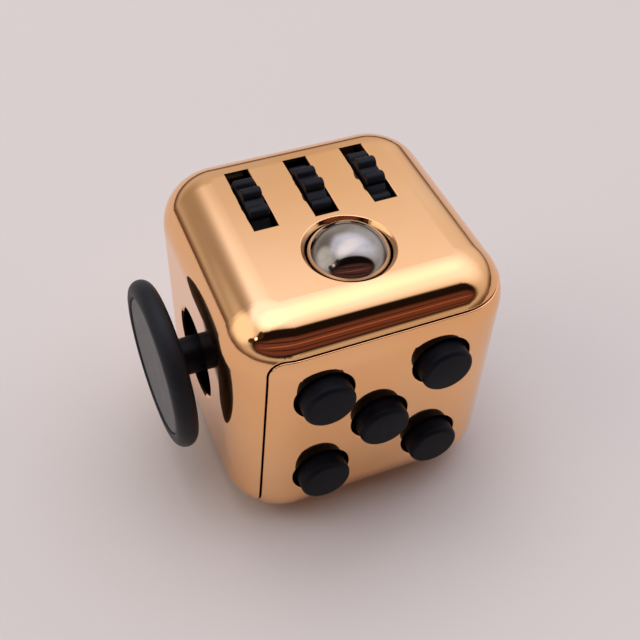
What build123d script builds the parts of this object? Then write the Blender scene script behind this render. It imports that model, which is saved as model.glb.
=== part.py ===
from build123d import *
import math
import os

# A palm-size fidget cube: a plated two-part case with a different hand toy on each face.
# Millimetres, +Z up. The origin is the centre of the underside, -Y is the button face,
# -X the thumb-stick face, +X the spin-dial face and +Y the rocker face.

# ---- driving dimensions ----
SIDE = 33.0
WALL = 1.6
UPRIGHT_EDGE_RADIUS = 7.0
LEVEL_EDGE_RADIUS = 6.0
SEAM_GAP = 0.14
SEAM_X = -13.4
SEAM_LEAN = math.tan(math.radians(2.4))
SEAM_Y = 13.4
SEAM_Z = 29.6
SEAM_CORNER = 2.0
LIP_THICKNESS = 0.65
LIP_REACH = 1.4
LIP_ROOT = 0.5
SEAM_EDGE_RADIUS = 0.12
OPENING_EDGE_RADIUS = 0.18

WHEEL_TIP_RADIUS = 5.7
WHEEL_LOBES = 12
WHEEL_LOBE_RADIUS = 0.8
WHEEL_WIDTH = 2.36
WHEEL_SPACING = 7.2
WHEEL_PROUD = 1.4
WHEEL_Y = 5.65
WHEEL_PHASES = {"left": 0.0, "middle": 10.0, "right": -9.0}
SLOT_WIDTH = 2.75
SLOT_LENGTH = 10.4
AXLE_RADIUS = 1.0

BALL_RADIUS = 5.25
BALL_PROUD = 2.24
BALL_Y = -5.6
BALL_MOUTH_RADIUS = 5.25
BALL_MOUTH_DEPTH = 0.45
BALL_HOLE_RADIUS = 4.82
BALL_POCKET_RADIUS = 5.7
BALL_LIP = 0.6

BUTTON_PITCH = 6.9
BUTTON_RADIUS = 3.0
BUTTON_HOLE_RADIUS = 3.45
BUTTON_PROUD = 1.95
BUTTON_FLANGE_RADIUS = 3.9

STICK_HOLE_RADIUS = 5.5
STICK_CAP_RADIUS = 10.2
STICK_CAP_THICKNESS = 2.6
STICK_CAP_RIM = 1.85
STICK_CAP_RECESS = 0.8
STICK_CAP_GAP = 2.9
STICK_STEM_RADIUS = 2.25
STICK_PIVOT_X = -13.0
STICK_TURN_DEGREES = 2.0

DIAL_RADIUS = 8.4
DIAL_THICKNESS = 1.8
DIAL_GROOVES = 24
DIAL_RECESS_RADIUS = 8.7
DIAL_RECESS_DEPTH = 0.6
DIAL_HUB_RADIUS = 2.4

ROCKER_RADIUS = 5.5
ROCKER_WIDTH = 6.2
ROCKER_FACE_REACH = 3.2
ROCKER_FACE_HOLLOW = 0.5
ROCKER_BASE_REACH = 0.9
ROCKER_BASE_HALF = 4.6
ROCKER_NOSE_REACH = 2.25
ROCKER_PIN_RADIUS = 0.7
ROCKER_PIVOT_Y = 14.0
ROCKER_TIP_DEGREES = 12.0

DISH_RADIUS = 8.5
DISH_DEPTH = 1.4

# ---- worked-out places ----
HALF = SIDE / 2
MIDDLE = HALF
INNER = HALF - WALL
TOP_INSIDE = SIDE - WALL
WHEEL_Z = SIDE + WHEEL_PROUD - WHEEL_TIP_RADIUS
BALL_Z = SIDE + BALL_PROUD - BALL_RADIUS
RUN = 0.05
CLEAR = 0.1

PLATE_TOP = 22.0
PLATE_LOW = 20.8
POST_RADIUS = 1.6
SCREW_RADIUS = 0.7
SCREW_HEAD_RADIUS = 1.3
SCREW_HEAD = 0.8
SCREW_FREE_RADIUS = SCREW_RADIUS + 0.15
CARRIER_POSTS = [(-11.4, -9.0), (11.4, -9.0), (-11.4, 11.2), (11.4, 11.2)]
CARRIER_HALF = 10.3
CHEEK_RADIUS = 2.4
CHEEK_SPANS = [(-CARRIER_HALF, -9.4), (-5.0, -2.2), (2.2, 5.0), (9.4, CARRIER_HALF)]
WHEEL_HUB_RADIUS = 2.2
WHEEL_HUB_HALF = 2.0

CUP_RADIUS = 5.15
CUP_LOW = 22.3
CUP_HIGH = 27.0
TUBE_LOW = 17.0
TUBE_FLOOR = 18.0
TUBE_HIGH = 24.3
TUBE_WALL = 0.8

BUTTON_FLANGE_FRONT = -INNER + 0.25
BUTTON_FLANGE_BACK = -14.0
BUTTON_PLATE_FRONT = -12.9
BUTTON_PLATE_BACK = -11.9
BUTTON_POST_RADIUS = 1.2
BUTTON_STANDOFF_RADIUS = 1.4
BUTTON_PLACES = {
    "top_left": (-1, 1),
    "top_right": (1, 1),
    "centre": (0, 0),
    "bottom_left": (-1, -1),
    "bottom_right": (1, -1),
}
CLICKING_BUTTONS = ("top_left", "centre", "bottom_right")
BUTTON_POSTS = [(-10.4, MIDDLE), (10.4, MIDDLE), (0.0, 26.3), (0.0, 6.7)]

STICK_CAP_FACE = -HALF - STICK_CAP_GAP - STICK_CAP_THICKNESS
STICK_CAP_BACK = -HALF - STICK_CAP_GAP
STICK_CAP_FLOOR = STICK_CAP_FACE + STICK_CAP_RECESS
RING_OUTER = 5.2
RING_INNER = 4.0
RING_THICKNESS = 1.4
BRACKET_BORE = 5.5
BRACKET_OUTER = 7.3
BRACKET_BACK = -11.3
STICK_LUG_Y = 9.3
LUG_RADIUS = 1.6
LUG_FOOT = 1.5
LUG_THICKNESS = 1.2
PIN_RADIUS = 0.5

SPRING_POCKET_OUTER = 3.9
SPRING_POCKET_INNER = 3.2
SPRING_POCKET_BACK = -7.3

DIAL_BACK = HALF - 0.5
DIAL_FRONT = DIAL_BACK + DIAL_THICKNESS

ROCKER_LUG_X = 6.2
ROCKER_FRAME_BACK = 10.4


# ---- small builders ----
def block(x_low, x_high, y_low, y_high, z_low, z_high):
    """A box given by its two corners."""
    middle = ((x_low + x_high) / 2, (y_low + y_high) / 2, (z_low + z_high) / 2)
    return Pos(*middle) * Box(x_high - x_low, y_high - y_low, z_high - z_low)


def rod_x(radius, x_low, x_high, y, z):
    """A round bar that lies along X."""
    return Pos((x_low + x_high) / 2, y, z) * Rot(0, 90, 0) * Cylinder(radius, x_high - x_low)


def rod_y(radius, y_low, y_high, x, z):
    """A round bar that lies along Y."""
    return Pos(x, (y_low + y_high) / 2, z) * Rot(90, 0, 0) * Cylinder(radius, y_high - y_low)


def rod_z(radius, z_low, z_high, x, y):
    """A round bar that stands along Z."""
    return Pos(x, y, (z_low + z_high) / 2) * Cylinder(radius, z_high - z_low)


def coil(radius, wire, length, turns):
    """A round-wire helix from the origin up +Z, its wire ends inside the given length."""
    path = Helix(pitch=(length - 2 * wire) / turns, height=length - 2 * wire, radius=radius)
    start = Plane(origin=path @ 0, z_dir=path % 0)
    return Pos(0, 0, wire) * sweep(start * Circle(wire), path=path)


def rim_circles(shape, centre, radius):
    """The round edges of a shape that have a given centre and radius."""
    return [
        edge
        for edge in shape.edges().filter_by(GeomType.CIRCLE)
        if (edge.arc_center - Vector(*centre)).length < 0.01 and abs(edge.radius - radius) < 0.01
    ]


def edges_within(shape, low, high):
    """The edges of a shape whose two ends both lie in the box between two corners."""
    slack = 0.001
    found = []
    for edge in shape.edges():
        ends = (edge @ 0, edge @ 1)
        spans = [zip(low, tuple(end), high) for end in ends]
        if all(least - slack <= value <= most + slack for span in spans for least, value, most in span):
            found.append(edge)
    return found


# ---- the case ----
def rounded_cube(inset):
    """The case's outer form, moved inwards by inset on every face."""
    size = SIDE - 2 * inset
    body = Pos(0, 0, MIDDLE) * Box(size, size, size)
    body = fillet(body.edges().filter_by(Axis.Z), UPRIGHT_EDGE_RADIUS - inset)
    level_faces = body.faces().sort_by(Axis.Z)
    level_edges = level_faces[0].edges() + level_faces[-1].edges()
    return fillet(level_edges, LEVEL_EDGE_RADIUS - inset)


def lower_region(grow):
    """The corner block of space that the lower shell fills, grown by an offset."""
    high = SEAM_Z + grow
    low = -HALF
    left_high = SEAM_X - grow + SEAM_LEAN * (high - MIDDLE)
    left_low = SEAM_X - grow + SEAM_LEAN * (low - MIDDLE)
    outline = Polyline((left_low, low), (left_high, high), (SIDE, high), (SIDE, low), close=True)
    back = SEAM_Y + grow
    profile = Plane.XZ.offset(-back) * make_face(outline)
    region = extrude(profile, amount=back + SIDE)
    corner = Vector(left_high, back, high)
    corner_edges = [
        edge
        for edge in region.edges()
        if min((edge @ 0 - corner).length, (edge @ 1 - corner).length) < 0.01
    ]
    return fillet(corner_edges, SEAM_CORNER + grow)


def broken_seam(shell, region):
    """A shell with the outer edges of its parting face, on the region's faces, slightly rounded."""
    outer_faces = rounded_cube(0).faces()
    seam_faces = region.faces()
    edges = []
    for edge in shell.edges():
        points = [edge @ share for share in (0.0, 0.5, 1.0)]
        on_both = all(
            min(face.distance_to(point) for face in faces) < 0.001
            for point in points
            for faces in (outer_faces, seam_faces)
        )
        if on_both:
            edges.append(edge)
    return fillet(edges, SEAM_EDGE_RADIUS)


def with_wheel_slots(shell):
    """The shell with the three wheels' slots, their outer edges rounded."""
    y_low = WHEEL_Y - SLOT_LENGTH / 2
    y_high = WHEEL_Y + SLOT_LENGTH / 2
    for place in (-1, 0, 1):
        x_low = place * WHEEL_SPACING - SLOT_WIDTH / 2
        x_high = x_low + SLOT_WIDTH
        shell -= block(x_low, x_high, y_low, y_high, TOP_INSIDE - 1, SIDE + 1)
        rim = edges_within(shell, (x_low, y_low, SIDE), (x_high, y_high, SIDE))
        shell = fillet(rim, OPENING_EDGE_RADIUS)
    return shell


def with_ball_mouth(shell):
    """The shell with the ball's hole: a coned mouth, a thin lip and a pocket under it."""
    mouth = Cone(BALL_HOLE_RADIUS, BALL_MOUTH_RADIUS, BALL_MOUTH_DEPTH)
    shell -= Pos(0, BALL_Y, SIDE - BALL_MOUTH_DEPTH / 2) * mouth
    shell -= rod_z(BALL_HOLE_RADIUS, TOP_INSIDE - 1, SIDE, 0, BALL_Y)
    shell -= rod_z(BALL_POCKET_RADIUS, TOP_INSIDE - 1, SIDE - BALL_LIP, 0, BALL_Y)
    return fillet(rim_circles(shell, (0, BALL_Y, SIDE), BALL_MOUTH_RADIUS), 0.1)


def with_rocker_window(shell):
    """The shell with the rocker's window, its outer edges rounded."""
    half_width = ROCKER_WIDTH / 2 + 0.2
    half_height = ROCKER_RADIUS + 0.15
    low = MIDDLE - half_height
    high = MIDDLE + half_height
    shell -= block(-half_width, half_width, INNER - 1, HALF + 1, low, high)
    rim = edges_within(shell, (-half_width, HALF, low), (half_width, HALF, high))
    return fillet(rim, OPENING_EDGE_RADIUS)


def upper_shell():
    """Left, top and back walls in one, with the lap lip that the lower shell slides over."""
    region = lower_region(SEAM_GAP / 2)
    shell = broken_seam(rounded_cube(0) - rounded_cube(WALL) - region, region)
    lip_walls = rounded_cube(WALL + RUN) - rounded_cube(WALL + LIP_THICKNESS)
    lip = lip_walls & (lower_region(LIP_ROOT) - lower_region(-LIP_REACH))
    root_walls = rounded_cube(WALL / 2) - rounded_cube(WALL + LIP_THICKNESS)
    root = root_walls & (lower_region(LIP_ROOT) - region)
    shell = shell + lip + root
    for x, y in CARRIER_POSTS:
        shell += rod_z(POST_RADIUS, PLATE_TOP, TOP_INSIDE + 0.4, x, y)
        shell -= rod_z(SCREW_RADIUS, PLATE_TOP - 1, PLATE_TOP + 5, x, y)
    for side in (-1, 1):
        y = side * STICK_LUG_Y
        shell += rod_x(LUG_FOOT, -INNER - 0.4, -INNER + LUG_FOOT, y, MIDDLE)
        shell -= rod_x(SCREW_RADIUS, -INNER - 0.6, -INNER + LUG_FOOT + 1, y, MIDDLE)
        x = side * ROCKER_LUG_X
        shell += rod_y(LUG_FOOT, INNER - LUG_FOOT, INNER + 0.4, x, MIDDLE)
        shell -= rod_y(SCREW_RADIUS, INNER - LUG_FOOT - 1, INNER + 0.6, x, MIDDLE)
    shell = with_wheel_slots(shell)
    shell = with_ball_mouth(shell)
    shell = with_rocker_window(shell)
    shell -= rod_x(STICK_HOLE_RADIUS, -HALF - 1, -INNER + 1, 0, MIDDLE)
    return chamfer(rim_circles(shell, (-HALF, 0, MIDDLE), STICK_HOLE_RADIUS), 0.25)


def lower_shell():
    """Front, right and bottom walls in one, with the thumb dish underneath."""
    region = lower_region(-SEAM_GAP / 2)
    shell = broken_seam((rounded_cube(0) - rounded_cube(WALL)) & region, region)
    dish_pad = rod_z(DISH_RADIUS + 1, WALL - 0.2, WALL + DISH_DEPTH, 0, 0)
    dish_sphere_radius = (DISH_RADIUS**2 + DISH_DEPTH**2) / (2 * DISH_DEPTH)
    shell += dish_pad
    shell -= Pos(0, 0, DISH_DEPTH - dish_sphere_radius) * Sphere(dish_sphere_radius)
    for x, z in BUTTON_POSTS:
        shell += rod_y(BUTTON_STANDOFF_RADIUS, -INNER - 0.4, BUTTON_PLATE_FRONT, x, z)
        shell -= rod_y(SCREW_RADIUS, -INNER - 0.6, BUTTON_PLATE_FRONT + 1, x, z)
    for across, up in BUTTON_PLACES.values():
        x = across * BUTTON_PITCH
        z = MIDDLE + up * BUTTON_PITCH
        shell -= rod_y(BUTTON_HOLE_RADIUS, -HALF - 1, -INNER + 0.5, x, z)
        shell = fillet(rim_circles(shell, (x, -HALF, z), BUTTON_HOLE_RADIUS), OPENING_EDGE_RADIUS)
    shell -= rod_x(DIAL_RECESS_RADIUS, HALF - DIAL_RECESS_DEPTH, HALF + 1, 0, MIDDLE)
    shell -= rod_x(DIAL_HUB_RADIUS + RUN, INNER - 1, HALF + 1, 0, MIDDLE)
    return fillet(rim_circles(shell, (HALF, 0, MIDDLE), DIAL_RECESS_RADIUS), OPENING_EDGE_RADIUS)


# ---- wheels and their bracket ----
def wheel_profile(phase):
    """A round-lobed outline in the YZ plane, a lobe at the top turned by phase."""
    lobe_centre = WHEEL_TIP_RADIUS - WHEEL_LOBE_RADIUS
    lobes = PolarLocations(lobe_centre, WHEEL_LOBES, start_angle=90 + phase) * Circle(WHEEL_LOBE_RADIUS)
    outline = Circle(lobe_centre) + lobes
    return fillet(outline.vertices(), 0.3)


def gear(place, phase):
    """A thumb wheel with a longer hub, bored for the axle."""
    x = place * WHEEL_SPACING
    wheel = Plane.YZ * extrude(wheel_profile(phase), amount=WHEEL_WIDTH / 2, both=True)
    wheel = Pos(x, WHEEL_Y, WHEEL_Z) * wheel
    wheel += rod_x(WHEEL_HUB_RADIUS, x - WHEEL_HUB_HALF, x + WHEEL_HUB_HALF, WHEEL_Y, WHEEL_Z)
    return wheel - rod_x(AXLE_RADIUS + RUN, x - 3, x + 3, WHEEL_Y, WHEEL_Z)


def gear_axle():
    """A plain steel rod through the bracket's four cheeks, its ends broken."""
    rod = rod_x(AXLE_RADIUS, -10.5, 10.5, WHEEL_Y, WHEEL_Z)
    return chamfer(rod.edges().filter_by(GeomType.CIRCLE), 0.2)


def gear_carrier():
    """The bracket under the top: four axle cheeks on a plate, and the ball cup's guide tube."""
    carrier = block(-CARRIER_HALF, CARRIER_HALF, -10.4, 9.0, PLATE_LOW, PLATE_TOP)
    for side in (-1, 1):
        low, high = sorted((side * 5.6, side * CARRIER_HALF))
        carrier += block(low, high, 8.0, 12.6, PLATE_LOW, PLATE_TOP)
    for x, y in CARRIER_POSTS:
        low, high = sorted((x, math.copysign(CARRIER_HALF - 0.3, x)))
        carrier += block(low, high, y - POST_RADIUS, y + POST_RADIUS, PLATE_LOW, PLATE_TOP)
        carrier += rod_z(POST_RADIUS, PLATE_LOW, PLATE_TOP, x, y)
    for low, high in CHEEK_SPANS:
        carrier += block(low, high, WHEEL_Y - CHEEK_RADIUS, WHEEL_Y + CHEEK_RADIUS, PLATE_TOP - 0.2, WHEEL_Z)
        carrier += rod_x(CHEEK_RADIUS, low, high, WHEEL_Y, WHEEL_Z)
    carrier += rod_z(CUP_RADIUS + CLEAR + TUBE_WALL, TUBE_LOW, TUBE_HIGH, 0, BALL_Y)
    carrier -= rod_z(CUP_RADIUS + CLEAR, TUBE_FLOOR, TUBE_HIGH + 1, 0, BALL_Y)
    carrier -= rod_x(AXLE_RADIUS + 0.01, -11, 11, WHEEL_Y, WHEEL_Z)
    for x, y in CARRIER_POSTS:
        carrier -= rod_z(SCREW_FREE_RADIUS, PLATE_LOW - 1, PLATE_TOP + 1, x, y)
    return carrier


def gear_click_spring():
    """A comb of three leaf fingers whose bent tips sit in the wheels' valleys."""
    low = PLATE_TOP
    leaf = 0.2
    seat = 0.35
    root_y = 8.2
    comb = block(-9.2, 9.2, root_y, root_y + 0.7, low, low + seat + leaf)
    tip_radius = 0.35
    reach = WHEEL_TIP_RADIUS - 0.2
    for place, phase in zip((-1, 0, 1), WHEEL_PHASES.values()):
        x = place * WHEEL_SPACING
        half_pitch = 180 / WHEEL_LOBES
        valley = min((phase - half_pitch, phase + half_pitch), key=abs)
        tip_y = WHEEL_Y + reach * math.sin(math.radians(valley))
        tip_z = WHEEL_Z - reach * math.cos(math.radians(valley))
        comb += block(x - 0.8, x + 0.8, tip_y - leaf, root_y + 0.1, low + seat, low + seat + leaf)
        comb += block(x - 0.8, x + 0.8, tip_y - leaf, tip_y + leaf, low + seat, tip_z)
        comb += rod_x(tip_radius, x - 0.8, x + 0.8, tip_y, tip_z)
    return comb


def screw_down(x, y, z_seat, length):
    """A pan-head self-tapping screw with its head under z_seat and its shank going up."""
    shank = rod_z(SCREW_RADIUS - 0.02, z_seat, z_seat + length, x, y)
    head = rod_z(SCREW_HEAD_RADIUS, z_seat - SCREW_HEAD, z_seat, x, y)
    head = fillet(head.edges().sort_by(Axis.Z)[0], 0.4)
    slot = block(x - 0.9, x + 0.9, y - 0.15, y + 0.15, z_seat - SCREW_HEAD - 1, z_seat - 0.45)
    cross = block(x - 0.15, x + 0.15, y - 0.9, y + 0.9, z_seat - SCREW_HEAD - 1, z_seat - 0.45)
    return head + shank - slot - cross


def carrier_screws():
    """The four screws that hold the bracket to the posts under the top."""
    return Compound([screw_down(x, y, PLATE_LOW, 5.0) for x, y in CARRIER_POSTS])


# ---- the ball ----
def steel_ball():
    """The rolling ball, seated under the lip of its hole."""
    return Pos(0, BALL_Y, BALL_Z) * Sphere(BALL_RADIUS)


def ball_cup():
    """The plunger that the ball rolls in, with a pin for the click dome."""
    cup = rod_z(CUP_RADIUS, CUP_LOW, CUP_HIGH, 0, BALL_Y)
    cup -= Pos(0, BALL_Y, BALL_Z) * Sphere(BALL_RADIUS + CLEAR)
    pin = rod_z(0.9, 18.75, CUP_LOW, 0, BALL_Y)
    return cup + fillet(pin.edges().sort_by(Axis.Z)[0], 0.3)


def ball_spring():
    """The coil that returns the cup after a press."""
    wire = 0.25
    length = CUP_LOW - TUBE_FLOOR - 0.04
    return Pos(0, BALL_Y, TUBE_FLOOR + 0.02) * coil(3.6, wire, length, 4)


def ball_click_dome():
    """A thin snap dome on the tube's floor, under the cup's pin."""
    radius = 2.6
    height = 0.55
    sphere_radius = (radius**2 + height**2) / (2 * height)
    outer = Pos(0, 0, height - sphere_radius) * Sphere(sphere_radius)
    inner = Pos(0, 0, height - sphere_radius) * Sphere(sphere_radius - 0.15)
    dome = (outer - inner) & block(-4, 4, -4, 4, 0, 2)
    return Pos(0, BALL_Y, TUBE_FLOOR) * dome


# ---- buttons ----
def button_place(name):
    """The x and z of a button's axis."""
    across, up = BUTTON_PLACES[name]
    return across * BUTTON_PITCH, MIDDLE + up * BUTTON_PITCH


def button(name):
    """A round cap with a hidden flange and a guide post that runs in the back plate."""
    x, z = button_place(name)
    face = -HALF - BUTTON_PROUD
    cap = rod_y(BUTTON_RADIUS, face, BUTTON_FLANGE_FRONT + 0.2, x, z)
    cap = fillet(cap.edges().sort_by(Axis.Y)[0], 0.55)
    flange = rod_y(BUTTON_FLANGE_RADIUS, BUTTON_FLANGE_FRONT, BUTTON_FLANGE_BACK, x, z)
    post = rod_y(BUTTON_POST_RADIUS, BUTTON_FLANGE_BACK - 0.1, BUTTON_PLATE_FRONT + 0.35, x, z)
    return cap + flange + post


def button_return(name):
    """What pushes a button back: a sprung cone that snaps, or a soft silent ring."""
    x, z = button_place(name)
    front = BUTTON_FLANGE_BACK + 0.02
    back = BUTTON_PLATE_FRONT - 0.02
    if name in CLICKING_BUTTONS:
        outline = Polyline((1.5, front), (1.75, front), (3.7, back), (3.45, back), close=True)
    else:
        outline = Polyline((1.5, front), (2.6, front), (3.2, back), (1.5, back), close=True)
    ring = revolve(make_face(outline), Axis.Y)
    return Pos(x, 0, z) * ring


def button_plate():
    """The plate behind the buttons that their posts run in."""
    plate = block(-11.9, 11.9, BUTTON_PLATE_FRONT, BUTTON_PLATE_BACK, MIDDLE - 11.6, MIDDLE + 11.6)
    plate = fillet(plate.edges().filter_by(Axis.Y), 3.0)
    for name in BUTTON_PLACES:
        x, z = button_place(name)
        plate -= rod_y(BUTTON_POST_RADIUS + RUN, BUTTON_PLATE_FRONT - 1, BUTTON_PLATE_BACK + 1, x, z)
    for x, z in BUTTON_POSTS:
        plate -= rod_y(SCREW_FREE_RADIUS, BUTTON_PLATE_FRONT - 1, BUTTON_PLATE_BACK + 1, x, z)
    return plate


def button_plate_screws():
    """The four screws that hold the back plate to the front wall's posts."""
    screws = []
    for x, z in BUTTON_POSTS:
        screw = Rot(90, 0, 0) * screw_down(0, 0, 0, 3.0)
        screws.append(Pos(x, BUTTON_PLATE_BACK, z) * screw)
    return Compound(screws)


# ---- thumb stick ----
def at_rest(shape):
    """A piece of the stick, turned about the upright pin to the angle that the loose stick rests at."""
    pivot = Pos(STICK_PIVOT_X, 0, MIDDLE)
    return pivot * Rot(0, 0, STICK_TURN_DEGREES) * pivot.inverse() * shape


def stick_cap():
    """The round thumb cap: a thick rounded rim round a shallow recess, on a short collar."""
    cap = rod_x(STICK_CAP_RADIUS, STICK_CAP_FACE, STICK_CAP_BACK, 0, MIDDLE)
    cap = fillet(cap.edges().filter_by(GeomType.CIRCLE), STICK_CAP_THICKNESS / 2 - 0.1)
    cap -= rod_x(STICK_CAP_RADIUS - STICK_CAP_RIM, STICK_CAP_FACE - 1, STICK_CAP_FLOOR, 0, MIDDLE)
    cap += rod_x(STICK_STEM_RADIUS, STICK_CAP_BACK - 0.2, STICK_CAP_BACK + 0.7, 0, MIDDLE)
    return at_rest(cap - rod_x(1.3, STICK_CAP_FACE + 1.5, STICK_CAP_BACK + 2, 0, MIDDLE))


def stick_insert():
    """The soft grey pad that lies in the cap's recess."""
    pad = rod_x(STICK_CAP_RADIUS - STICK_CAP_RIM - RUN, STICK_CAP_FLOOR - 0.6, STICK_CAP_FLOOR, 0, MIDDLE)
    return at_rest(fillet(pad.edges().sort_by(Axis.X)[0], 0.25))


def stick_stem():
    """The stem: a spigot pressed into the cap, a round neck, and a hub on the inner pivot pin."""
    spigot = rod_x(1.28, STICK_CAP_FACE + 1.6, STICK_CAP_BACK + 0.8, 0, MIDDLE)
    neck = rod_x(STICK_STEM_RADIUS, STICK_CAP_BACK + 0.7, STICK_PIVOT_X + 1.0, 0, MIDDLE)
    tail = rod_x(1.6, STICK_PIVOT_X + 0.8, STICK_PIVOT_X + 2.0, 0, MIDDLE)
    hub = rod_z(1.2, MIDDLE - 3.2, MIDDLE + 3.2, STICK_PIVOT_X, 0)
    stem = spigot + neck + tail + hub
    return at_rest(stem - rod_z(PIN_RADIUS + 0.01, MIDDLE - 5, MIDDLE + 5, STICK_PIVOT_X, 0))


def gimbal_ring():
    """The ring between stem and bracket that lets the stick tilt two ways."""
    x_low = STICK_PIVOT_X - RING_THICKNESS / 2
    x_high = STICK_PIVOT_X + RING_THICKNESS / 2
    ring = rod_x(RING_OUTER, x_low, x_high, 0, MIDDLE) - rod_x(RING_INNER, x_low - 1, x_high + 1, 0, MIDDLE)
    ring -= rod_z(PIN_RADIUS + RUN, MIDDLE - 6, MIDDLE + 6, STICK_PIVOT_X, 0)
    return ring - rod_y(PIN_RADIUS + 0.01, -6, 6, STICK_PIVOT_X, MIDDLE)


def gimbal_inner_pin():
    """The upright steel pin through the stem's hub, its ends turning in the ring."""
    reach = RING_OUTER - 0.1
    return rod_z(PIN_RADIUS, MIDDLE - reach, MIDDLE + reach, STICK_PIVOT_X, 0)


def gimbal_outer_pins():
    """The two level steel pins pressed into the ring, which turn in the bracket."""
    pins = []
    for side in (-1, 1):
        low, high = sorted((side * (RING_INNER + 0.1), side * (BRACKET_OUTER - 0.4)))
        pins.append(rod_y(PIN_RADIUS, low, high, STICK_PIVOT_X, MIDDLE))
    return Compound(pins)


def stick_bracket():
    """The ring-shaped holder behind the stick's hole, with a spring pocket and two screw lugs."""
    bracket = rod_x(BRACKET_OUTER, -INNER + 0.02, BRACKET_BACK + 0.6, 0, MIDDLE)
    bracket -= rod_x(BRACKET_BORE, -INNER - 1, BRACKET_BACK, 0, MIDDLE)
    bracket += rod_x(SPRING_POCKET_OUTER, BRACKET_BACK + 0.2, SPRING_POCKET_BACK, 0, MIDDLE)
    bracket -= rod_x(SPRING_POCKET_INNER, BRACKET_BACK - 1, SPRING_POCKET_BACK - 0.7, 0, MIDDLE)
    lug_low = -INNER + LUG_FOOT
    for side in (-1, 1):
        y_low, y_high = sorted((side * 6.6, side * STICK_LUG_Y))
        lug = block(lug_low, lug_low + LUG_THICKNESS, y_low, y_high, MIDDLE - LUG_RADIUS, MIDDLE + LUG_RADIUS)
        lug += rod_x(LUG_RADIUS, lug_low, lug_low + LUG_THICKNESS, side * STICK_LUG_Y, MIDDLE)
        lug -= rod_x(SCREW_FREE_RADIUS, lug_low - 1, lug_low + 3, side * STICK_LUG_Y, MIDDLE)
        bracket += lug
    return bracket - rod_y(PIN_RADIUS + RUN, -7.0, 7.0, STICK_PIVOT_X, MIDDLE)


def stick_bracket_screws():
    """The two screws through the bracket's lugs."""
    seat = -INNER + LUG_FOOT + LUG_THICKNESS
    screws = []
    for side in (-1, 1):
        screw = Rot(0, -90, 0) * screw_down(0, 0, 0, 3.0)
        screws.append(Pos(seat, side * STICK_LUG_Y, MIDDLE) * screw)
    return Compound(screws)


def stick_spring():
    """The coil behind the stem's tail that brings the stick back upright."""
    wire = 0.22
    return Pos(-10.9, 0, MIDDLE) * Rot(0, 90, 0) * coil(2.2, wire, 2.8, 3)


# ---- spin dial ----
def spin_dial():
    """A round dial in a shallow recess, with a finger dimple and a grooved edge."""
    dial = rod_x(DIAL_RADIUS, DIAL_BACK, DIAL_FRONT, 0, MIDDLE)
    dial = fillet(dial.edges().sort_by(Axis.X)[-1], 0.6)
    groove_centre = DIAL_RADIUS + 0.45
    for index in range(DIAL_GROOVES):
        angle = 2 * math.pi * index / DIAL_GROOVES
        y = groove_centre * math.cos(angle)
        z = MIDDLE + groove_centre * math.sin(angle)
        dial -= rod_x(0.7, DIAL_BACK - 1, DIAL_FRONT + 1, y, z)
    dial -= Pos(DIAL_FRONT + 4.2, 0, MIDDLE + 4.6) * Sphere(5.0)
    dial += rod_x(DIAL_HUB_RADIUS, INNER - 0.2, DIAL_BACK + 0.2, 0, MIDDLE)
    return dial - rod_x(SCREW_RADIUS, INNER - 1, HALF + 0.5, 0, MIDDLE)


def dial_washer():
    """The washer that keeps the dial from pulling out."""
    washer = rod_x(4.0, INNER - 0.7, INNER - 0.2, 0, MIDDLE)
    return washer - rod_x(SCREW_RADIUS + 0.1, INNER - 2, INNER, 0, MIDDLE)


def dial_screw():
    """The screw up the dial's hub."""
    return Pos(INNER - 0.7, 0, MIDDLE) * Rot(0, 90, 0) * screw_down(0, 0, 0, 2.3)


# ---- rocker switch ----
def rocker():
    """A tipped rocker: a sector about its pin with a hollowed face and a nose behind."""
    radius = ROCKER_RADIUS
    tip = (ROCKER_FACE_REACH, math.sqrt(radius**2 - ROCKER_FACE_REACH**2))
    bulge = (radius * math.cos(1.2), radius * math.sin(1.2))
    root = (0.8, math.sqrt(radius**2 - 0.8**2))
    base = (-ROCKER_BASE_REACH, ROCKER_BASE_HALF)
    low_tip, low_bulge, low_root, low_base = [(out, -up) for out, up in (tip, bulge, root, base)]
    face = ThreePointArc(low_tip, (ROCKER_FACE_REACH - ROCKER_FACE_HOLLOW, 0), tip)
    upper_end = ThreePointArc(tip, bulge, root)
    lower_end = ThreePointArc(low_root, low_bulge, low_tip)
    back = Polyline(root, base, low_base, low_root)
    nose_radius = 0.35
    nose = Pos(-ROCKER_NOSE_REACH, 0) * Circle(nose_radius)
    nose += Pos(-ROCKER_NOSE_REACH + 0.75, 0) * Rectangle(1.5, 2 * nose_radius)
    profile = make_face([face, upper_end, back, lower_end]) + nose
    body = extrude(Plane.YZ * profile, amount=ROCKER_WIDTH / 2, both=True)
    body -= rod_x(ROCKER_PIN_RADIUS + RUN, -5, 5, 0, 0)
    return Pos(0, ROCKER_PIVOT_Y, MIDDLE) * Rot(ROCKER_TIP_DEGREES, 0, 0) * body


def rocker_pin():
    """The rocker's steel pin, held in the frame's cheeks."""
    return rod_x(ROCKER_PIN_RADIUS, -4.3, 4.3, ROCKER_PIVOT_Y, MIDDLE)


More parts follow.
